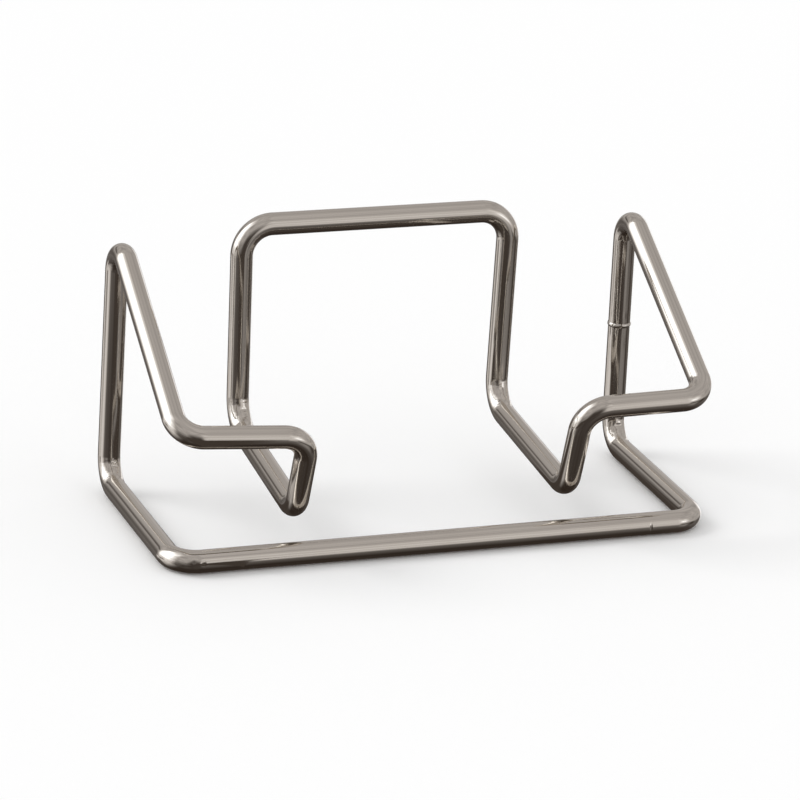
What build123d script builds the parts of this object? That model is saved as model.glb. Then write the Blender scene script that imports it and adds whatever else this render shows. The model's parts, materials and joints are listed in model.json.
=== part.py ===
from build123d import *
from math import radians, sin, tan
import os

# A desk stand for business cards: one length of round wire bent into a closed loop, its two ends
# butt welded in the right upright. Each node is one run of the wire, cut square to the wire at
# the middle of the bend at each end, so that the runs meet face to face.
# X runs along the front bar, Y from the front to the back and Z up from the desk, where the wire
# rests. The origin is on the desk, midway between the sides and between the front bar and the back.
# Sizes are in millimetres and, unless they say otherwise, go to the wire's centre line.

# Wire and weld
WIRE_DIAMETER = 4.0
WELD_RISE = 22.8
WELD_WIDTH = 0.8
WELD_PROUD = 0.15

# Base, flat on the desk: the front bar and the two side rails
SIDE_SPACING = 96.0
BASE_DEPTH = 40.2

# Back, in one upright plane at the rear ends of the rails: the two uprights and the arch
BACK_RISE = 45.7
SHOULDER_SPACING = 95.2
ARCH_TOP_SPACING = 50.0
ARCH_FOOT_SPACING = 49.0
ARCH_FOOT_RISE = 9.1

# Front of the card pocket: the side arms slope down to the elbows, the ledges run inwards from
# there, and the prongs drop from the ledges to the floor rails under the cards
ELBOW_SETBACK = 0.2
ELBOW_RISE = 22.6
LEFT_LEDGE_DROP = 1.6
RIGHT_LEDGE_DROP = 0.3
PRONG_SPACING = 50.0
PRONG_FOOT_SETBACK = 5.5
PRONG_FOOT_RISE = 5.6

# Inside radii of the bends
FRONT_CORNER_RADIUS = 2.7
HEEL_RADIUS = 3.0
SHOULDER_RADIUS = 1.9
ELBOW_RADIUS = 2.6
LEDGE_END_RADIUS = 2.8
PRONG_FOOT_RADIUS = 2.0
ARCH_FOOT_RADIUS = 3.8
ARCH_TOP_RADIUS = 3.4

WIRE_RADIUS = WIRE_DIAMETER / 2
BASE_Z = WIRE_RADIUS
FRONT_Y = -BASE_DEPTH / 2
BACK_Y = BASE_DEPTH / 2


def side_corners(side, ledge_drop):
    """One half of the loop, from the front bar to the arch: each corner and its inside radius."""
    elbow_y = FRONT_Y + ELBOW_SETBACK
    foot_y = FRONT_Y + PRONG_FOOT_SETBACK
    corners = [
        (SIDE_SPACING, FRONT_Y, 0, FRONT_CORNER_RADIUS),
        (SIDE_SPACING, BACK_Y, 0, HEEL_RADIUS),
        (SHOULDER_SPACING, BACK_Y, BACK_RISE, SHOULDER_RADIUS),
        (SIDE_SPACING, elbow_y, ELBOW_RISE, ELBOW_RADIUS),
        (PRONG_SPACING, elbow_y, ELBOW_RISE - ledge_drop, LEDGE_END_RADIUS),
        (PRONG_SPACING, foot_y, PRONG_FOOT_RISE, PRONG_FOOT_RADIUS),
        (ARCH_FOOT_SPACING, BACK_Y, ARCH_FOOT_RISE, ARCH_FOOT_RADIUS),
        (ARCH_TOP_SPACING, BACK_Y, BACK_RISE, ARCH_TOP_RADIUS),
    ]
    return [
        (Vector(side * spacing / 2, y, BASE_Z + rise), radius)
        for spacing, y, rise, radius in corners
    ]


def bend(before, corner, after, inside_radius):
    """Where the centre line enters a bend, the middle of its arc, and where it leaves."""
    radius = inside_radius + WIRE_RADIUS
    to_before = (before - corner).normalized()
    to_after = (after - corner).normalized()
    half_angle = radians(to_before.get_angle(to_after)) / 2
    inward = (to_before + to_after).normalized()
    reach = radius / tan(half_angle)
    middle = corner + inward * (radius / sin(half_angle) - radius)
    return corner + to_before * reach, middle, corner + to_after * reach


def wire_along(*edges):
    """Round wire swept along a centre line of straight runs and tangent arcs."""
    path = Wire(edges)
    section = Plane(origin=path @ 0, z_dir=path % 0) * Circle(WIRE_RADIUS)
    return sweep(section, path=path)


def wire_run(start_bend, end_bend):
    """Wire from the middle of one bend to the middle of the next."""
    _, start_middle, start = start_bend
    end, end_middle, _ = end_bend
    ahead = (end - start).normalized()
    return wire_along(
        TangentArc(start, start_middle, tangent=-ahead),
        Line(start, end),
        TangentArc(end, end_middle, tangent=ahead),
    )


def welded_run(start_bend, end_bend):
    """Wire run cut at the weld: the upper length, the weld bead and the lower length."""
    _, start_middle, start = start_bend
    end, end_middle, _ = end_bend
    ahead = (end - start).normalized()
    weld = start + ahead * ((start.Z - BASE_Z - WELD_RISE) / -ahead.Z)
    upper_end = weld - ahead * (WELD_WIDTH / 2)
    lower_end = weld + ahead * (WELD_WIDTH / 2)
    upper = wire_along(
        TangentArc(start, start_middle, tangent=-ahead),
        Line(start, upper_end),
    )
    lower = wire_along(
        Line(lower_end, end),
        TangentArc(end, end_middle, tangent=ahead),
    )
    rim = WIRE_RADIUS + WELD_PROUD
    half = WELD_WIDTH / 2
    profile = make_face([
        Line((0, -half), (WIRE_RADIUS, -half)),
        ThreePointArc((WIRE_RADIUS, -half), (rim, 0), (WIRE_RADIUS, half)),
        Line((WIRE_RADIUS, half), (0, half)),
        Line((0, half), (0, -half)),
    ])
    bead = revolve(Plane.XZ * profile, axis=Axis.Z)
    return upper, Plane(origin=weld, z_dir=ahead) * bead, lower


left = side_corners(-1, LEFT_LEDGE_DROP)
right = side_corners(1, RIGHT_LEDGE_DROP)
loop = left + right[::-1]
bends = [
    bend(loop[i - 1][0], corner, loop[(i + 1) % len(loop)][0], radius)
    for i, (corner, radius) in enumerate(loop)
]

# The runs in order round the loop, each from the corner of the same place in the list to the next
run_names = [
    "left_base_rail",
    "left_upright",
    "left_side_arm",
    "left_front_ledge",
    "left_prong",
    "left_floor_rail",
    "left_arch_post",
    "arch_top_bar",
    "right_arch_post",
    "right_floor_rail",
    "right_prong",
    "right_front_ledge",
    "right_side_arm",
    "right_upright",
    "right_base_rail",
    "front_bar",
]
nodes = {}
for i, name in enumerate(run_names):
    ends = bends[i], bends[(i + 1) % len(bends)]
    if name == "right_upright":
        upper, bead, lower = welded_run(*ends)
        nodes["right_upright_upper"] = upper
        nodes["butt_weld"] = bead
        nodes["right_upright_lower"] = lower
    else:
        nodes[name] = wire_run(*ends)

os.makedirs("parts", exist_ok=True)
for name, node in nodes.items():
    node.label = name
    export_step(node, f"parts/{name}.step")
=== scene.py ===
import json
from math import ceil, cos, degrees, pi, radians, sin, tan

import bmesh
import bpy
from bpy.props import FloatProperty, FloatVectorProperty, IntProperty, PointerProperty
from mathutils import Matrix, Vector, noise


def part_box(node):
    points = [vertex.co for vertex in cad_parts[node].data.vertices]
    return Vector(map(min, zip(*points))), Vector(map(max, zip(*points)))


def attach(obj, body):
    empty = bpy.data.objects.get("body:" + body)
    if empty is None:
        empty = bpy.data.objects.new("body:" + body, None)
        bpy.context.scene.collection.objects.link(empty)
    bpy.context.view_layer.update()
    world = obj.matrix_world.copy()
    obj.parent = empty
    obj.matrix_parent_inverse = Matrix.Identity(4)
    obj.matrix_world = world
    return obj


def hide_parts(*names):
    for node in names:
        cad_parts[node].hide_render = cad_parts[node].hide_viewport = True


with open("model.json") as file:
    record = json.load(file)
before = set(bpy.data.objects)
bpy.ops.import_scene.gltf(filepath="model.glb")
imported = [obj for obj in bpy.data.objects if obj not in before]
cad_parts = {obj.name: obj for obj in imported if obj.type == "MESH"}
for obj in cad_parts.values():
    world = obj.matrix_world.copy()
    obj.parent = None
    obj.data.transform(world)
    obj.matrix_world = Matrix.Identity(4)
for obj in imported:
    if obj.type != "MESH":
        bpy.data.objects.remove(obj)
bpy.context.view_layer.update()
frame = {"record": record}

bl_info = {
    "name": "Bent-wire card stand",
    "version": (1, 0, 0),
    "blender": (4, 5, 0),
    "location": "View3D > Sidebar > Card Stand",
    "description": "A desk stand for business cards, bent from one plated wire and butt welded",
    "category": "Add Mesh",
}

RECORD_COLOURS = {slot["slot"]: slot["base_color"] for slot in frame["record"]["materials"]}

# A millimetre in metres
MM = 0.001

# How far a piece's box may be from its node's, in metres
BOX_TOLERANCE = 0.0001

# The wire's runs in the order in which the wire was bent, from one side of the weld to the other
RUNS = (
    "right_upright_lower",
    "right_base_rail",
    "front_bar",
    "left_base_rail",
    "left_upright",
    "left_side_arm",
    "left_front_ledge",
    "left_prong",
    "left_floor_rail",
    "left_arch_post",
    "arch_top_bar",
    "right_arch_post",
    "right_floor_rail",
    "right_prong",
    "right_front_ledge",
    "right_side_arm",
    "right_upright_upper",
)

# Where a point of the plated surface was on the wire while it was still straight
STRAIGHT = "straight_wire"

# How the bending strained it: 1 on the inside of a bend, -1 on the outside and 0 on a straight run
STRAIN = "bend_strain"

# Dents that the bender's tools left: the run that each is on, its place along the run's straight
# length, the side that it is on, its half lengths across and along the wire, and its depth, in
# millimetres. A place before the start or past the end of the straight length is in the bend there.
TOOL_MARKS = {
    "front jaw": ("front_bar", 5.0, (0.0, -1.0, 0.0), 1.1, 0.3, 0.07),
    "front outer pin": ("front_bar", 86.7, (0.0, -0.985, 0.17), 0.6, 0.5, 0.06),
    "front inner pin": ("front_bar", 87.9, (0.0, -0.96, 0.28), 0.6, 0.42, 0.06),
    "left heel mandrel": ("left_upright", -2.6, (0.28, -0.96, 0.0), 0.9, 0.9, 0.12),
    "right heel mandrel": ("right_upright_lower", 19.6, (0.0, -1.0, 0.0), 1.0, 1.0, 0.14),
    "left arch mandrel": ("left_arch_post", -3.2, (0.2, -0.98, 0.0), 0.9, 0.9, 0.12),
}

# Mesh rings from the middle of a dent to its end, on a straight length
DENT_RINGS = 8

# Mesh rows across the weld bead, and the sizes of its large and small lumps in metres
BEAD_ROWS = 16
LARGE_LUMP = 0.0007
SMALL_LUMP = 0.0003

# Patterns in the plate: features per metre across and along the wire, and the detail and the
# roughness of the noise that makes them
PLATE_PATTERNS = {
    "clouds": (160.0, 45.0, 3.0, 0.5),
    "lines": (3600.0, 45.0, 3.0, 0.6),
    "waves": (420.0, 95.0, 1.0, 0.5),
    "smudges": (260.0, 110.0, 4.0, 0.6),
    "dressing": (300.0, 380.0, 0.0, 0.5),
    "wrinkles": (420.0, 900.0, 1.0, 0.5),
}

# Noise values between which a cloud or a smudge comes up to its full strength
CLOUD_EDGE = (0.45, 0.8)
SMUDGE_EDGE = (0.5, 0.75)


def length(name, description, millimetres):
    """A size of the stand, written in millimetres and kept in metres."""
    return FloatProperty(
        name=name,
        description=description,
        default=millimetres * MM,
        precision=5,
        subtype="DISTANCE",
        unit="LENGTH",
    )


def share(name, description, default):
    """A number from 0 to 1."""
    return FloatProperty(
        name=name, description=description, default=default, min=0.0, max=1.0, subtype="FACTOR"
    )


def colour(name, description, default):
    """A linear colour."""
    return FloatVectorProperty(
        name=name, description=description, default=default, size=3, min=0.0, subtype="COLOR"
    )


def angle(name, description, default_degrees):
    """An angle, written in degrees and kept in radians."""
    return FloatProperty(
        name=name, description=description, default=radians(default_degrees), subtype="ANGLE"
    )


class WireSizes(bpy.types.PropertyGroup):
    """Sizes of the bent wire, to its centre line unless they say otherwise."""

    wire_diameter: length("Wire diameter", "Diameter of the round wire", 4.0)
    side_spacing: length("Side spacing", "From one base rail to the other", 96.0)
    base_depth: length("Base depth", "From the front bar to the back", 40.2)
    back_rise: length("Back rise", "From the base up to the shoulders and the arch", 45.7)
    shoulder_spacing: length("Shoulder spacing", "From one shoulder to the other", 95.2)
    arch_top_spacing: length("Arch top", "Width of the arch at its top", 50.0)
    arch_foot_spacing: length("Arch foot", "Width of the arch at its foot", 49.0)
    arch_foot_rise: length("Arch foot rise", "From the base up to the arch's foot", 9.1)
    elbow_setback: length("Elbow setback", "From the front bar back to the elbows", 0.2)
    elbow_rise: length("Elbow rise", "From the base up to the elbows", 22.6)
    left_ledge_drop: length("Left ledge drop", "Fall of the left ledge towards its prong", 1.6)
    right_ledge_drop: length("Right ledge drop", "Fall of the right ledge towards its prong", 0.3)
    prong_spacing: length("Prong spacing", "From one prong to the other", 50.0)
    prong_foot_setback: length("Prong foot setback", "From the front bar to the prongs' feet", 5.5)
    prong_foot_rise: length("Prong foot rise", "From the base up to the prongs' feet", 5.6)
    front_corner_radius: length("Front corner", "Inside radius of the front corners", 2.7)
    heel_radius: length("Heel", "Inside radius where the uprights rise", 3.0)
    shoulder_radius: length("Shoulder", "Inside radius on top of the uprights", 1.9)
    elbow_radius: length("Elbow", "Inside radius where the ledges start", 2.6)
    ledge_end_radius: length("Ledge end", "Inside radius where the ledges turn down", 2.8)
    prong_foot_radius: length("Prong foot", "Inside radius under the prongs", 2.0)
    arch_foot_radius: length("Arch foot bend", "Inside radius where the arch rises", 3.8)
    arch_top_radius: length("Arch top bend", "Inside radius of the arch's top corners", 3.4)
    weld_rise: length("Weld rise", "From the base up to the weld", 22.8)
    weld_width: length("Weld width", "Length of wire that the weld bead covers", 0.8)
    weld_proud: length("Weld proud", "How far the bead stands out of the wire", 0.15)
    weld_lumps: length("Weld lumps", "Unevenness of the bead", 0.05)
    ring_sides: IntProperty(
        name="Ring sides", description="Sides of the wire's mesh", default=64, min=16, max=128
    )
    ring_spacing: length("Ring spacing", "Distance between the mesh rings of a straight run", 4.0)
    bend_step: angle("Bend step", "Turn from one mesh ring to the next in a bend", 1.0)
    strain_onset: angle("Strain onset", "Turn over which a bend's strain sets in", 10.0)


class PlateFinish(bpy.types.PropertyGroup):
    """Look of the bright nickel plate."""

    plate: colour("Plate", "Colour of the clean plate", RECORD_COLOURS["plated_wire"])
    tarnish: colour("Tarnish", "Colour of the faint clouds in the plate", (0.71, 0.665, 0.605))
    weld: colour("Weld", "Colour of the plate on the weld bead", RECORD_COLOURS["plated_weld"])
    roughness: share("Roughness", "Roughness of the clean plate", 0.085)
    smudge_roughness: share("Smudge roughness", "Added where the plate was handled", 0.07)
    line_roughness: share("Line roughness", "Added along the fine drawing lines", 0.03)
    tarnish_strength: share("Tarnish strength", "Share of tarnish in the thickest clouds", 0.6)
    wave_height: length("Wave height", "Height of the slow waves in the drawn wire", 0.020)
    line_height: length("Line height", "Height of the fine drawing lines", 0.0003)
    weld_height: length("Weld height", "Height of the dressing marks beside the weld", 0.16)
    weld_reach: length("Weld reach", "How far the dressing marks reach from the weld", 4.5)
    wrinkle_height: length("Wrinkle height", "Height of the wrinkles inside the bends", 0.11)


class StageLook(bpy.types.PropertyGroup):
    """Floor, light and camera."""

    floor: colour("Floor", "Colour of the floor", (0.985, 0.985, 0.985))
    fill: FloatProperty(name="Fill", description="Light from all round", default=0.84, min=0.0)
    key: FloatProperty(
        name="Key", description="Light that the key adds to the floor", default=0.17, min=0.0
    )
    key_bearing: angle("Key bearing", "Key light's place, from straight in front", -120.0)
    key_elevation: angle("Key elevation", "Key light's height above the desk", 40.0)
    key_spread: angle("Key spread", "Angle across the key light, which softens the shadow", 30.0)
    camera_bearing: angle("Bearing", "Camera's place, from straight in front", -20.73)
    camera_elevation: angle("Elevation", "Camera's height above the desk", 19.91)
    camera_roll: angle("Roll", "Camera's turn about its view", 3.13)
    camera_distance: length("Distance", "From the camera to the point it looks at", 800.0)
    camera_aim: FloatVectorProperty(
        name="Aim",
        description="Point that the camera looks at",
        default=(-0.0018, -0.00084, 0.02107),
        size=3,
        precision=5,
        subtype="TRANSLATION",
        unit="LENGTH",
    )
    lens: FloatProperty(name="Lens", description="Focal length", default=206.6, unit="CAMERA")
    sensor: FloatProperty(
        name="Sensor", description="Width of the camera's sensor", default=36.0, unit="CAMERA"
    )


class Bend:
    """A bend of the wire: where its centre line enters and leaves, and what it turns about."""

    def __init__(self, before, corner, after, radius):
        to_before = (before - corner).normalized()
        to_after = (after - corner).normalized()
        half_angle = to_before.angle(to_after) / 2
        self.enter = corner + to_before * radius / tan(half_angle)
        self.leave = corner + to_after * radius / tan(half_angle)
        self.centre = corner + (to_before + to_after).normalized() * radius / sin(half_angle)
        self.axis = to_after.cross(to_before).normalized()
        self.turn = pi - 2 * half_angle
        self.radius = radius

    def rotation(self, turn):
        """Matrix that turns a point about the bend's centre."""
        return (
            Matrix.Translation(self.centre)
            @ Matrix.Rotation(turn, 4, self.axis)
            @ Matrix.Translation(-self.centre)
        )

    def distance(self, point):
        """Distance of a point from the line that the bend turns about."""
        return (point - self.centre).cross(self.axis).length


class Run:
    """A straight run of the wire, with half of the bend at each end."""

    def __init__(self, start, end, start_bend, end_bend):
        self.start = start
        self.end = end
        self.start_bend = start_bend
        self.end_bend = end_bend
        self.ahead = (end - start).normalized()
        self.across = None
        self.along = 0.0
        self.dents = []

    def placement(self):
        """Matrix from a ring's own axes, with Z along the wire, to the start of the run."""
        turned = Matrix((self.across, self.ahead.cross(self.across), self.ahead)).transposed()
        return Matrix.Translation(self.start) @ turned.to_4x4()


class Dent:
    """A dent that the bender's tools left in a run, placed on the still straight wire."""

    def __init__(self, run, wire_radius, distance, side, across, along, depth):
        outward = Vector((run.across.dot(side), run.ahead.cross(run.across).dot(side), 0.0))
        self.middle = outward.normalized() * wire_radius
        self.middle.z = run.along + distance * MM
        self.across = across * MM
        self.along = along * MM
        self.depth = depth * MM

    def depth_at(self, place):
        """Depth at a place on the straight wire, falling smoothly to 0 at the dent's edge."""
        x, y, z = place - self.middle
        reach = min(1.0, Vector((x / self.across, y / self.across, z / self.along)).length)
        return self.depth * (1 - reach**2 * (3 - 2 * reach))


def side_corners(sizes, side, ledge_drop):
    """One half of the loop, from the front bar to the arch: each corner and its inside radius."""
    front = -sizes.base_depth / 2
    back = sizes.base_depth / 2
    elbow = front + sizes.elbow_setback
    foot = front + sizes.prong_foot_setback
    ledge_end = sizes.elbow_rise - ledge_drop
    corners = (
        (sizes.side_spacing, front, 0.0, sizes.front_corner_radius),
        (sizes.side_spacing, back, 0.0, sizes.heel_radius),
        (sizes.shoulder_spacing, back, sizes.back_rise, sizes.shoulder_radius),
        (sizes.side_spacing, elbow, sizes.elbow_rise, sizes.elbow_radius),
        (sizes.prong_spacing, elbow, ledge_end, sizes.ledge_end_radius),
        (sizes.prong_spacing, foot, sizes.prong_foot_rise, sizes.prong_foot_radius),
        (sizes.arch_foot_spacing, back, sizes.arch_foot_rise, sizes.arch_foot_radius),
        (sizes.arch_top_spacing, back, sizes.back_rise, sizes.arch_top_radius),
    )
    base = sizes.wire_diameter / 2
    return [
        (Vector((side * spacing / 2, y, base + rise)), radius)
        for spacing, y, rise, radius in corners
    ]


def weld_place(sizes):
    """Middle of the weld on the right upright, and the direction of the wire down from it."""
    corners = side_corners(sizes, 1, sizes.right_ledge_drop)
    heel = corners[1][0]
    shoulder = corners[2][0]
    share_of_rise = sizes.weld_rise / (shoulder.z - heel.z)
    return heel.lerp(shoulder, share_of_rise), (heel - shoulder).normalized()


def wire_runs(sizes):
    """Every run of the wire by name, from the weld round the loop and back to the weld."""
    left = side_corners(sizes, -1, sizes.left_ledge_drop)
    right = side_corners(sizes, 1, sizes.right_ledge_drop)
    corners = [right[1], right[0], *left, *right[:1:-1]]
    weld, down = weld_place(sizes)
    points = [weld, *(corner for corner, _ in corners), weld]
    bends = [
        Bend(points[i], points[i + 1], points[i + 2], radius + sizes.wire_diameter / 2)
        for i, (_, radius) in enumerate(corners)
    ]
    starts = [weld + down * sizes.weld_width / 2, *(bend.leave for bend in bends)]
    ends = [*(bend.enter for bend in bends), weld - down * sizes.weld_width / 2]
    runs = {}
    across = down.orthogonal().normalized()
    along = sizes.weld_width / 2
    for name, *parts in zip(RUNS, starts, ends, [None, *bends], [*bends, None]):
        run = Run(*parts)
        if run.start_bend:
            across = run.start_bend.rotation(run.start_bend.turn).to_3x3() @ across
            along += run.start_bend.radius * run.start_bend.turn
        run.across = across
        run.along = along
        along += (run.end - run.start).length
        runs[name] = run
    for name, *mark in TOOL_MARKS.values():
        runs[name].dents.append(Dent(runs[name], sizes.wire_diameter / 2, *mark))
    return runs


def wire_length(sizes):
    """Length of the wire's centre line from one side of the weld to the other."""
    last = wire_runs(sizes)[RUNS[-1]]
    return last.along + (last.end - last.start).length + sizes.weld_width / 2


def draw_out(bm, rim, straight, move, advance):
    """Draws an open end of the wire out by one ring, and returns the edges of the new end."""
    grown = bmesh.ops.extrude_edge_only(bm, edges=rim)["geom"]
    ring = [item for item in grown if isinstance(item, bmesh.types.BMVert)]
    bmesh.ops.transform(bm, matrix=move, verts=ring)
    for vert in ring:
        vert[straight] = vert[straight] + Vector((0.0, 0.0, advance))
    return [item for item in grown if isinstance(item, bmesh.types.BMEdge) and item.is_boundary]


def draw_half_bend(bm, rim, straight, bend, sense, sizes):
    """Draws an open end of the wire round to the middle of a bend, forwards or backwards."""
    strain = bm.verts.layers.float[STRAIN]
    count = ceil(bend.turn / 2 / sizes.bend_step)
    turn = sense * bend.turn / 2 / count
    for i in range(count):
        rim = draw_out(bm, rim, straight, bend.rotation(turn), turn * bend.radius)
        onset = min(1.0, (i + 1) * abs(turn) / sizes.strain_onset)
        for vert in {vert for edge in rim for vert in edge.verts}:
            inward = bend.radius - bend.distance(vert.co)
            vert[strain] = onset * inward / (sizes.wire_diameter / 2)
    return rim


def close_end(bm, rim):
    """Closes an open end of the wire with a flat face and a crisp edge."""
    bmesh.ops.edgeloop_fill(bm, edges=rim)
    for edge in rim:
        edge.smooth = False


def ring_steps(run, sizes):
    """Steps from ring to ring along a run's straight length, which are shorter across a dent."""
    span = (run.end - run.start).length
    count = ceil(span / sizes.ring_spacing)
    places = {span * (i + 1) / count for i in range(count)}
    for dent in run.dents:
        middle = dent.middle.z - run.along
        places.update(
            middle + dent.along * i / DENT_RINGS for i in range(-DENT_RINGS, DENT_RINGS + 1)
        )
    places = sorted(place for place in places if 0.0 < place <= span)
    return [place - before for before, place in zip([0.0, *places], places)]


def press_dents(bm, run, straight):
    """Presses the tool marks of a run into its surface."""
    bmesh.ops.recalc_face_normals(bm, faces=bm.faces)
    bm.normal_update()
    for vert in bm.verts:
        vert.co -= vert.normal * sum(dent.depth_at(vert[straight]) for dent in run.dents)


def run_mesh(bm, run, sizes):
    """Round wire along one run, from the middle of the bend at its start to that at its end."""
    bm.verts.layers.float.new(STRAIN)
    straight = bm.verts.layers.float_vector.new(STRAIGHT)
    radius = sizes.wire_diameter / 2
    ring = bmesh.ops.create_circle(bm, segments=sizes.ring_sides, radius=radius)["verts"]
    for vert in ring:
        vert[straight] = vert.co + Vector((0.0, 0.0, run.along))
    bmesh.ops.transform(bm, matrix=run.placement(), verts=ring)
    start_rim = list(bm.edges)
    end_rim = start_rim
    for step in ring_steps(run, sizes):
        end_rim = draw_out(bm, end_rim, straight, Matrix.Translation(run.ahead * step), step)
    if run.start_bend:
        start_rim = draw_half_bend(bm, start_rim, straight, run.start_bend, -1, sizes)
    if run.end_bend:
        end_rim = draw_half_bend(bm, end_rim, straight, run.end_bend, 1, sizes)
    close_end(bm, start_rim)
    close_end(bm, end_rim)
    press_dents(bm, run, straight)


def bead_mesh(bm, sizes):
    """Weld bead: a slightly uneven ring, as wide as the gap between the wire's two ends."""
    straight = bm.verts.layers.float_vector.new(STRAIGHT)
    radius = sizes.wire_diameter / 2
    profile = []
    for row in range(BEAD_ROWS + 1):
        place = 2 * row / BEAD_ROWS - 1
        swell = sizes.weld_proud * (1 - place**2)
        profile.append(bm.verts.new((radius + swell, 0.0, place * sizes.weld_width / 2)))
    edges = [bm.edges.new(pair) for pair in zip(profile, profile[1:])]
    bmesh.ops.spin(
        bm,
        geom=[*profile, *edges],
        cent=(0.0, 0.0, 0.0),
        axis=(0.0, 0.0, 1.0),
        angle=2 * pi,
        steps=sizes.ring_sides,
        use_merge=True,
    )
    for vert in bm.verts:
        vert[straight] = vert.co
        lump = noise.noise(vert.co / LARGE_LUMP) + noise.noise(vert.co / SMALL_LUMP) / 2
        outward = Vector((vert.co.x, vert.co.y, 0.0)).normalized()
        share_of_width = abs(vert.co.z) / (sizes.weld_width / 2)
        vert.co += outward * lump * sizes.weld_lumps * max(0.0, 1 - share_of_width**4)
    rims = [edge for edge in bm.edges if edge.is_boundary]
    close_end(bm, [edge for edge in rims if edge.verts[0].co.z < 0])
    close_end(bm, [edge for edge in rims if edge.verts[0].co.z > 0])
    weld, down = weld_place(sizes)
    across = down.orthogonal().normalized()
    turned = Matrix((across, down.cross(across), down)).transposed().to_4x4()
    bmesh.ops.transform(bm, matrix=Matrix.Translation(weld) @ turned, verts=bm.verts)


def check_fit(piece, node):
    """Stops the script where a piece doesn't lie where its node does."""
    places = [vert.co for vert in piece.data.vertices]
    for sense, corner in zip((min, max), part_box(node)):
        reach = Vector(sense(place[axis] for place in places) for axis in range(3))
        if (reach - corner).length > BOX_TOLERANCE:
            raise RuntimeError(f"{piece.name} reaches {reach} where its node reaches {corner}")


def add_piece(name, bm, material, node):
    """Turns a finished bmesh into a piece that stands for a node of the frame."""
    bmesh.ops.recalc_face_normals(bm, faces=bm.faces)
    for face in bm.faces:
        face.smooth = True
    mesh = bpy.data.meshes.new(name)
    bm.to_mesh(mesh)
    bm.free()
    mesh.materials.append(material)
    piece = bpy.data.objects.new(name, mesh)
    bpy.context.scene.collection.objects.link(piece)
    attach(piece, "root")
    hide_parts(node)
    check_fit(piece, node)


class Signal:
    """A value in a node tree. Arithmetic on signals adds the nodes that work it out."""

    def __init__(self, tree, socket=None):
        self.tree = tree
        self.socket = socket

    def node(self, kind, settings=None, output=0, **inputs):
        """Adds a node: first its settings, then the values or links of its sockets."""
        node = self.tree.nodes.new(kind)
        for key, value in (settings or {}).items():
            setattr(node, key, value)
        for key, value in inputs.items():
            place = int(key[1:]) if key[1:].isdigit() else key.replace("_", " ")
            if isinstance(value, Signal):
                self.tree.links.new(value.socket, node.inputs[place])
            else:
                node.inputs[place].default_value = value
        return Signal(self.tree, node.outputs[output])

    def maths(self, operation, *others):
        """A Math node on this value and others."""
        inputs = {f"_{i + 1}": value for i, value in enumerate(others)}
        return self.node("ShaderNodeMath", {"operation": operation}, _0=self, **inputs)

    def __add__(self, other):
        return self.maths("ADD", other)

    __radd__ = __add__

    def __sub__(self, other):
        return self.maths("SUBTRACT", other)

    def __rsub__(self, other):
        return (self * -1.0) + other

    def __mul__(self, other):
        return self.maths("MULTIPLY", other)

    __rmul__ = __mul__

    def step(self, low, high):
        """Smooth step from 0 at low to 1 at high."""
        return self.node(
            "ShaderNodeMapRange",
            {"interpolation_type": "SMOOTHSTEP"},
            Value=self,
            From_Min=low,
            From_Max=high,
        )

    def between(self, low, high, low_softness, high_softness):
        """1 between low and high and 0 beyond them, with soft edges."""
        rise = self.step(low - low_softness, low + low_softness)
        fall = self.step(high - high_softness, high + high_softness)
        return rise * (1.0 - fall)

    def stretched(self, x, y, z):
        """This vector with each of its axes scaled."""
        return self.node("ShaderNodeVectorMath", {"operation": "MULTIPLY"}, _0=self, _1=(x, y, z))

    def noise(self, detail, roughness):
        """Noise from 0 to 1 on this vector, in features about one unit across."""
        return self.node(
            "ShaderNodeTexNoise", Vector=self, Scale=1.0, Detail=detail, Roughness=roughness
        )

    def axis(self, name):
        """One axis of this vector."""
        return self.node("ShaderNodeSeparateXYZ", output=name, Vector=self)


def mixed(tree, factor, first, second):
    """One colour changing into another."""
    return Signal(tree).node(
        "ShaderNodeMix",
        {"data_type": "RGBA"},
        output=2,
        _0=factor,
        _6=(*first, 1.0),
        _7=(*second, 1.0),
    )


def new_material(name):
    """An empty node material, its tree and its output's surface socket."""
    material = bpy.data.materials.new(name)
    material.use_nodes = True
    tree = material.node_tree
    tree.nodes.clear()
    output = tree.nodes.new("ShaderNodeOutputMaterial")
    return material, tree, output.inputs["Surface"]


def beside_weld(along, sizes, reach):
    """1 at the weld, falling to 0 at a reach along the wire on each side of it."""
    from_start = along.step(0.0, reach)
    from_end = (wire_length(sizes) - along).step(0.0, reach)
    return 1.0 - from_start * from_end


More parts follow.
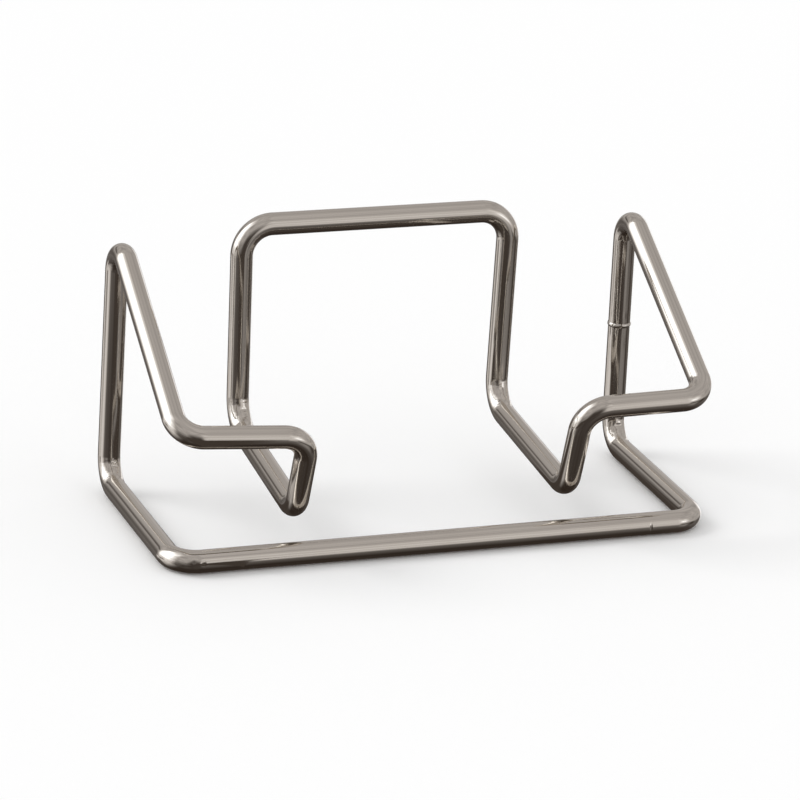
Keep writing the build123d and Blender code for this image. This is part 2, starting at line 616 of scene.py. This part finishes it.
def plate_material(name, clean, sizes, finish):
    """Bright nickel plate on drawn wire, with clouds, drawing lines, waves and working marks."""
    material, tree, surface = new_material(name)
    place = Signal(tree).node(
        "ShaderNodeAttribute", {"attribute_name": STRAIGHT}, output="Vector"
    )
    strain = place.node("ShaderNodeAttribute", {"attribute_name": STRAIN}, output="Fac")
    squeezed = strain.maths("MAXIMUM", 0.0)
    dressed = beside_weld(place.axis("Z"), sizes, finish.weld_reach)
    pattern = {
        kind: place.stretched(across, across, along).noise(detail, roughness)
        for kind, (across, along, detail, roughness) in PLATE_PATTERNS.items()
    }
    clouds = pattern["clouds"].step(*CLOUD_EDGE) * finish.tarnish_strength
    shade = mixed(tree, clouds, clean, finish.tarnish)
    roughness = (
        pattern["smudges"].step(*SMUDGE_EDGE) * finish.smudge_roughness
        + pattern["lines"] * finish.line_roughness
        + finish.roughness
    )
    height = (
        pattern["waves"] * finish.wave_height
        + pattern["lines"] * finish.line_height
        + (pattern["dressing"] - 0.5) * dressed * finish.weld_height
        + (pattern["wrinkles"] - 0.5) * squeezed * finish.wrinkle_height
    )
    bump = place.node("ShaderNodeBump", Strength=1.0, Distance=1.0, Height=height)
    shader = place.node(
        "ShaderNodeBsdfPrincipled",
        Base_Color=shade,
        Metallic=1.0,
        Roughness=roughness,
        Normal=bump,
    )
    tree.links.new(shader.socket, surface)
    return material


def wire_plate(context):
    """The plate of the wire's runs, made once."""
    found = bpy.data.materials.get("nickel_plate")
    finish = context.scene.plate_finish
    return found or plate_material("nickel_plate", finish.plate, context.scene.wire_sizes, finish)


class RunsOperator:
    """Builds the runs of wire that a class names."""

    bl_options = {"REGISTER", "UNDO"}
    runs = ()

    def execute(self, context):
        sizes = context.scene.wire_sizes
        made = wire_runs(sizes)
        for name in self.runs:
            bm = bmesh.new()
            run_mesh(bm, made[name], sizes)
            add_piece(f"wire_{name}", bm, wire_plate(context), name)
        return {"FINISHED"}


class CARDSTAND_OT_base(RunsOperator, bpy.types.Operator):
    """Bend the base that lies on the desk: the front bar and both side rails"""

    bl_idname = "card_stand.base"
    bl_label = "Base"
    runs = ("front_bar", "left_base_rail", "right_base_rail")


class CARDSTAND_OT_uprights(RunsOperator, bpy.types.Operator):
    """Raise the rear uprights, the right one in two lengths that the weld joins"""

    bl_idname = "card_stand.uprights"
    bl_label = "Uprights"
    runs = ("left_upright", "right_upright_lower", "right_upright_upper")


class CARDSTAND_OT_weld(bpy.types.Operator):
    """Lay the bead of the butt weld round the right upright"""

    bl_idname = "card_stand.weld"
    bl_label = "Butt weld"
    bl_options = {"REGISTER", "UNDO"}

    def execute(self, context):
        sizes = context.scene.wire_sizes
        finish = context.scene.plate_finish
        bm = bmesh.new()
        bead_mesh(bm, sizes)
        plate = plate_material("nickel_on_weld", finish.weld, sizes, finish)
        add_piece("weld_bead", bm, plate, "butt_weld")
        return {"FINISHED"}


class CARDSTAND_OT_side_arms(RunsOperator, bpy.types.Operator):
    """Slope the side arms down from the shoulders to the elbows"""

    bl_idname = "card_stand.side_arms"
    bl_label = "Side arms"
    runs = ("left_side_arm", "right_side_arm")


class CARDSTAND_OT_pocket_front(RunsOperator, bpy.types.Operator):
    """Turn the ledges and prongs that hold the cards at the front"""

    bl_idname = "card_stand.pocket_front"
    bl_label = "Ledges and prongs"
    runs = ("left_front_ledge", "right_front_ledge", "left_prong", "right_prong")


class CARDSTAND_OT_card_floor(RunsOperator, bpy.types.Operator):
    """Run the floor rails that the cards stand on"""

    bl_idname = "card_stand.card_floor"
    bl_label = "Floor rails"
    runs = ("left_floor_rail", "right_floor_rail")


class CARDSTAND_OT_back_arch(RunsOperator, bpy.types.Operator):
    """Raise the arch that the cards lean on"""

    bl_idname = "card_stand.back_arch"
    bl_label = "Back arch"
    runs = ("left_arch_post", "right_arch_post", "arch_top_bar")


# Sizes of the stage in metres, and the fineness of its meshes
FLOOR_RADIUS = 3.0
STUDIO_RADIUS = 3.0
SHADE_RADIUS = 0.3
CAMERA_CLIP = (0.01, 20.0)
DISC_SIDES = 96
SPHERE_SUBDIVISIONS = 4

FLOOR_ROUGHNESS = 0.9


def direction(bearing, elevation):
    """Unit vector at a bearing from straight in front, right being positive, and a height."""
    return Vector(
        (sin(bearing) * cos(elevation), -cos(bearing) * cos(elevation), sin(elevation))
    )


def add_stage_object(name, data):
    """Links an object that isn't part of the stand."""
    made = bpy.data.objects.new(name, data)
    bpy.context.scene.collection.objects.link(made)
    return made


def disc_mesh(name, radius):
    """A flat disc on the desk plane."""
    bm = bmesh.new()
    bmesh.ops.create_circle(bm, cap_ends=True, segments=DISC_SIDES, radius=radius)
    mesh = bpy.data.meshes.new(name)
    bm.to_mesh(mesh)
    bm.free()
    return mesh


def sphere_mesh(name, radius):
    """A sphere round the stand."""
    bm = bmesh.new()
    bmesh.ops.create_icosphere(bm, subdivisions=SPHERE_SUBDIVISIONS, radius=radius)
    for face in bm.faces:
        face.smooth = True
    mesh = bpy.data.meshes.new(name)
    bm.to_mesh(mesh)
    bm.free()
    return mesh


def floor_material(look):
    """Matt pale floor."""
    material, tree, surface = new_material("pale_floor")
    shader = Signal(tree).node(
        "ShaderNodeBsdfPrincipled",
        Base_Color=(*look.floor, 1.0),
        Roughness=FLOOR_ROUGHNESS,
        Specular_IOR_Level=0.0,
    )
    tree.links.new(shader.socket, surface)
    return material


# The studio that the plate mirrors, by bearing from straight in front, right being positive, and by
# elevation, in degrees. The table has one tone underneath and another towards its edge, and fades
# into the surround there.
SURROUND_TONE = 0.415
TABLE_TONES = (0.028, 0.115)
TABLE_SHADES = (-62.0, -20.0)
TABLE_EDGE = (-18.0, -10.0)

# What stands out in the studio, each thing over those before it: its tone, the bearings that it lies
# between and their softness, and the elevations that it lies between and their softness
STUDIO_THINGS = {
    "dim side": (0.13, (-76.0, 7.0), (10.0, 7.0), (-18.0, 5.0), (4.0, 20.0)),
    "lit side": (0.62, (10.0, 36.0), (7.0, 8.0), (-12.0, 37.0), (15.0, 12.0)),
    "light on the table": (0.26, (35.0, 57.0), (8.0, 7.0), (-33.0, -17.0), (10.0, 2.0)),
    "dark skirting": (0.06, (33.0, 80.0), (6.0, 7.0), (-17.0, -11.0), (2.0, 3.0)),
    "dark box": (0.055, (66.0, 88.0), (7.0, 6.0), (-28.0, -15.0), (6.0, 3.0)),
    "small lamp": (1.30, (34.0, 57.0), (9.0, 11.0), (0.0, 17.0), (6.0, 12.0)),
    "dark table front": (0.055, (-60.0, 10.0), (14.0, 8.0), (-50.0, -17.0), (10.0, 4.0)),
    "dark screen": (0.048, (-29.0, 4.0), (11.0, 7.0), (-60.0, 18.0), (10.0, 22.0)),
    "glow on the table": (1.05, (-130.0, -83.0), (7.0, 15.0), (-28.0, -6.0), (34.0, 6.0)),
    "large lamp": (1.60, (-133.0, -80.0), (5.0, 17.0), (-2.0, 62.0), (9.0, 15.0)),
    "ledge under the lamp": (0.24, (-134.0, -109.0), (4.0, 6.0), (-19.0, -11.5), (1.5, 1.5)),
    "far table": (0.62, (-149.0, -131.0), (5.0, 4.0), (-25.0, -14.0), (3.0, 2.0)),
    "back of the table": (0.11, (-179.0, -142.0), (4.0, 4.0), (-16.0, 4.0), (2.0, 9.0)),
    "rear lamp": (1.20, (130.0, 146.0), (4.0, 4.0), (-27.0, 8.0), (8.0, 6.0)),
    "shelf": (0.11, (-170.0, -140.0), (4.0, 4.0), (12.0, 21.0), (3.0, 6.0)),
}

# Features of the studio's unevenness across and up it, the detail and the roughness of its noise,
# and its strength
UNEVEN_FEATURES = (4.0, 4.0, 6.0)
UNEVEN_NOISE = (2.0, 0.5)
UNEVEN_STRENGTH = 1.1

# The tint of the studio's middle tones, the lamps' tint and the tones between which it takes over,
# and the brown that is added to all tones and shows in the dark ones
WARM_TINT = (1.035, 1.0, 0.98)
LAMP_TINT = (0.985, 1.0, 1.02)
LAMP_TONES = (0.5, 1.3)
BROWN_VEIL = (0.0078, 0.0, -0.0045)


def studio_material():
    """Glowing studio that only the plate sees: a surround, a table and what stands out."""
    material, tree, surface = new_material("mirrored_studio")
    place = Signal(tree).node("ShaderNodeTexCoord", output="Object")
    toward = place.node("ShaderNodeVectorMath", {"operation": "NORMALIZE"}, _0=place)
    bearing = toward.axis("X").maths("ARCTAN2", toward.axis("Y") * -1.0) * degrees(1.0)
    elevation = toward.axis("Z").maths("ARCSINE") * degrees(1.0)
    low, high = TABLE_TONES
    tone = elevation.step(*TABLE_SHADES) * (high - low) + low
    tone = tone + elevation.step(*TABLE_EDGE) * (SURROUND_TONE - tone)
    for new_tone, bearings, side_softness, elevations, height_softness in STUDIO_THINGS.values():
        across = bearing.between(*bearings, *side_softness)
        upright = elevation.between(*elevations, *height_softness)
        tone = tone + across * upright * (new_tone - tone)
    unevenness = toward.stretched(*UNEVEN_FEATURES).noise(*UNEVEN_NOISE) - 0.5
    tone = tone * (unevenness * UNEVEN_STRENGTH + 1.0)
    shader = place.node("ShaderNodeEmission", Color=tinted(tone), Strength=1.0)
    tree.links.new(shader.socket, surface)
    return material


def tinted(tone):
    """Colour of a tone in the studio: brown if dark, warm grey in the middle, white if a lamp."""
    tint = mixed(tone.tree, tone.step(*LAMP_TONES), WARM_TINT, LAMP_TINT)
    return tone.node(
        "ShaderNodeVectorMath", {"operation": "MULTIPLY_ADD"}, _0=tone, _1=tint, _2=BROWN_VEIL
    )


# Painted shadow on the table: a dark fan ahead of the stand's left corner, where the table lies in
# shade. The corner's side and depth in millimetres, the bearings that it spreads between and their
# softness in degrees, and the distances in millimetres between which it fades out
FAN_CORNER = (-36.0, -22.0)
FAN_SPREAD = (-45.0, 23.0)
FAN_SOFTNESS = (8.0, 5.0)
FAN_FADE = (130.0, 200.0)

# Painted shadow patches on the table where the stand shades it, in millimetres: the sides that each
# lies between and their softness, and the depths that it lies between and their softness
TABLE_SHADOW_PATCHES = {
    "beside the right rail": ((42.0, 47.0), (3.0, 1.0), (-22.0, 42.0), (4.0, 4.0)),
    "under the card floor": ((-42.0, 42.0), (4.0, 4.0), (-10.0, 11.0), (4.0, 4.0)),
}

# Colour of the painted shadow on the table
SHADE_COLOUR = (0.058, 0.047, 0.040, 1.0)


def table_shadow_material():
    """Painted shadow on the table near the stand: the fan and the patches, and clear elsewhere."""
    material, tree, surface = new_material("painted_table_shadow")
    place = Signal(tree).node("ShaderNodeTexCoord", output="Object")
    side = place.axis("X") * (1 / MM)
    depth = place.axis("Y") * (1 / MM)
    corner_side, corner_depth = FAN_CORNER
    aside = side - corner_side
    ahead = corner_depth - depth
    bearing = aside.maths("ARCTAN2", ahead) * degrees(1.0)
    distance = (aside * aside + ahead * ahead).maths("SQRT")
    mask = bearing.between(*FAN_SPREAD, *FAN_SOFTNESS) * (1.0 - distance.step(*FAN_FADE))
    for sides, side_softness, depths, depth_softness in TABLE_SHADOW_PATCHES.values():
        across = side.between(*sides, *side_softness)
        mask = mask.maths("MAXIMUM", across * depth.between(*depths, *depth_softness))
    clear = place.node("ShaderNodeBsdfTransparent")
    # The painted shadow glows dark where the mask is full
    dark = place.node("ShaderNodeEmission", Color=SHADE_COLOUR, Strength=1.0)
    shader = place.node("ShaderNodeMixShader", Fac=mask, _1=clear, _2=dark)
    tree.links.new(shader.socket, surface)
    return material


def only_mirrored(made):
    """Lets an object show in the plate alone: the camera doesn't see it, and it shades nothing."""
    made.visible_camera = False
    made.visible_diffuse = False
    made.visible_shadow = False
    made.visible_transmission = False


def add_mirrored_studio():
    """The studio that the plate mirrors, and a painted shadow on the table."""
    studio = add_stage_object("mirrored_studio", sphere_mesh("mirrored_studio", STUDIO_RADIUS))
    studio.data.materials.append(studio_material())
    only_mirrored(studio)
    # The painted shadow on the table, which only the plate mirrors
    shade = add_stage_object("painted_table_shadow", disc_mesh("painted_table_shadow", SHADE_RADIUS))
    shade.data.materials.append(table_shadow_material())
    only_mirrored(shade)


def add_key_light(look):
    """A soft light from the back left that lays the stand's shadow on the floor."""
    lamp = bpy.data.lights.new("key", "SUN")
    lamp.angle = look.key_spread
    lamp.energy = look.key * pi / sin(look.key_elevation)
    made = add_stage_object("key", lamp)
    toward = direction(look.key_bearing, look.key_elevation)
    made.rotation_euler = toward.to_track_quat("Z", "Y").to_euler()
    made.visible_glossy = False


def add_world(look):
    """Plain white behind the stand, and an even fill light from all round."""
    world = bpy.data.worlds.new("white_surroundings")
    world.use_nodes = True
    tree = world.node_tree
    tree.nodes.clear()
    output = tree.nodes.new("ShaderNodeOutputWorld")
    path = Signal(tree).node("ShaderNodeLightPath", output="Is Camera Ray")
    rays = path.socket.node.outputs
    seen = (
        path
        + Signal(tree, rays["Is Glossy Ray"])
        + Signal(tree, rays["Is Transmission Ray"])
    ).maths("MINIMUM", 1.0)
    strength = seen * (1.0 - look.fill) + look.fill
    shader = path.node("ShaderNodeBackground", Color=(1.0, 1.0, 1.0, 1.0), Strength=strength)
    tree.links.new(shader.socket, output.inputs["Surface"])
    bpy.context.scene.world = world


def add_camera(look):
    """The camera at the photograph's viewing angle."""
    back = direction(look.camera_bearing, look.camera_elevation)
    camera = bpy.data.cameras.new("camera")
    camera.sensor_width = look.sensor
    camera.lens = look.lens
    camera.clip_start, camera.clip_end = CAMERA_CLIP
    made = bpy.data.objects.new("camera", camera)
    made.location = Vector(look.camera_aim) + back * look.camera_distance
    turned = (-back).to_track_quat("-Z", "Y").to_matrix()
    made.rotation_euler = (turned @ Matrix.Rotation(look.camera_roll, 3, "Z")).to_euler()
    bpy.context.scene.collection.objects.link(made)
    bpy.context.scene.camera = made


class CARDSTAND_OT_stage(bpy.types.Operator):
    """Set the floor, the light, the mirrored studio and the camera"""

    bl_idname = "card_stand.stage"
    bl_label = "Stage"
    bl_options = {"REGISTER", "UNDO"}

    def execute(self, context):
        look = context.scene.stage_look
        floor = add_stage_object("floor", disc_mesh("floor", FLOOR_RADIUS))
        floor.data.materials.append(floor_material(look))
        floor.visible_glossy = False
        add_mirrored_studio()
        add_key_light(look)
        add_world(look)
        add_camera(look)
        context.scene.view_settings.view_transform = "Standard"
        return {"FINISHED"}


OPERATORS = (
    CARDSTAND_OT_base,
    CARDSTAND_OT_uprights,
    CARDSTAND_OT_weld,
    CARDSTAND_OT_side_arms,
    CARDSTAND_OT_pocket_front,
    CARDSTAND_OT_card_floor,
    CARDSTAND_OT_back_arch,
    CARDSTAND_OT_stage,
)


class CARDSTAND_PT_panel(bpy.types.Panel):
    """Lists the steps of building the stand"""

    bl_idname = "CARDSTAND_PT_panel"
    bl_label = "Card stand"
    bl_space_type = "VIEW_3D"
    bl_region_type = "UI"
    bl_category = "Card Stand"

    def draw(self, context):
        for operator in OPERATORS:
            self.layout.operator(operator.bl_idname)


GROUPS = {"wire_sizes": WireSizes, "plate_finish": PlateFinish, "stage_look": StageLook}
CLASSES = (*GROUPS.values(), *OPERATORS, CARDSTAND_PT_panel)


def register():
    for cls in CLASSES:
        bpy.utils.register_class(cls)
    for name, group in GROUPS.items():
        setattr(bpy.types.Scene, name, PointerProperty(type=group))


def unregister():
    for name in GROUPS:
        delattr(bpy.types.Scene, name)
    for cls in reversed(CLASSES):
        bpy.utils.unregister_class(cls)


def main():
    register()
    bpy.ops.card_stand.base()
    bpy.ops.card_stand.uprights()
    bpy.ops.card_stand.weld()
    bpy.ops.card_stand.side_arms()
    bpy.ops.card_stand.pocket_front()
    bpy.ops.card_stand.card_floor()
    bpy.ops.card_stand.back_arch()
    bpy.ops.card_stand.stage()


if __name__ == "__main__":
    main()
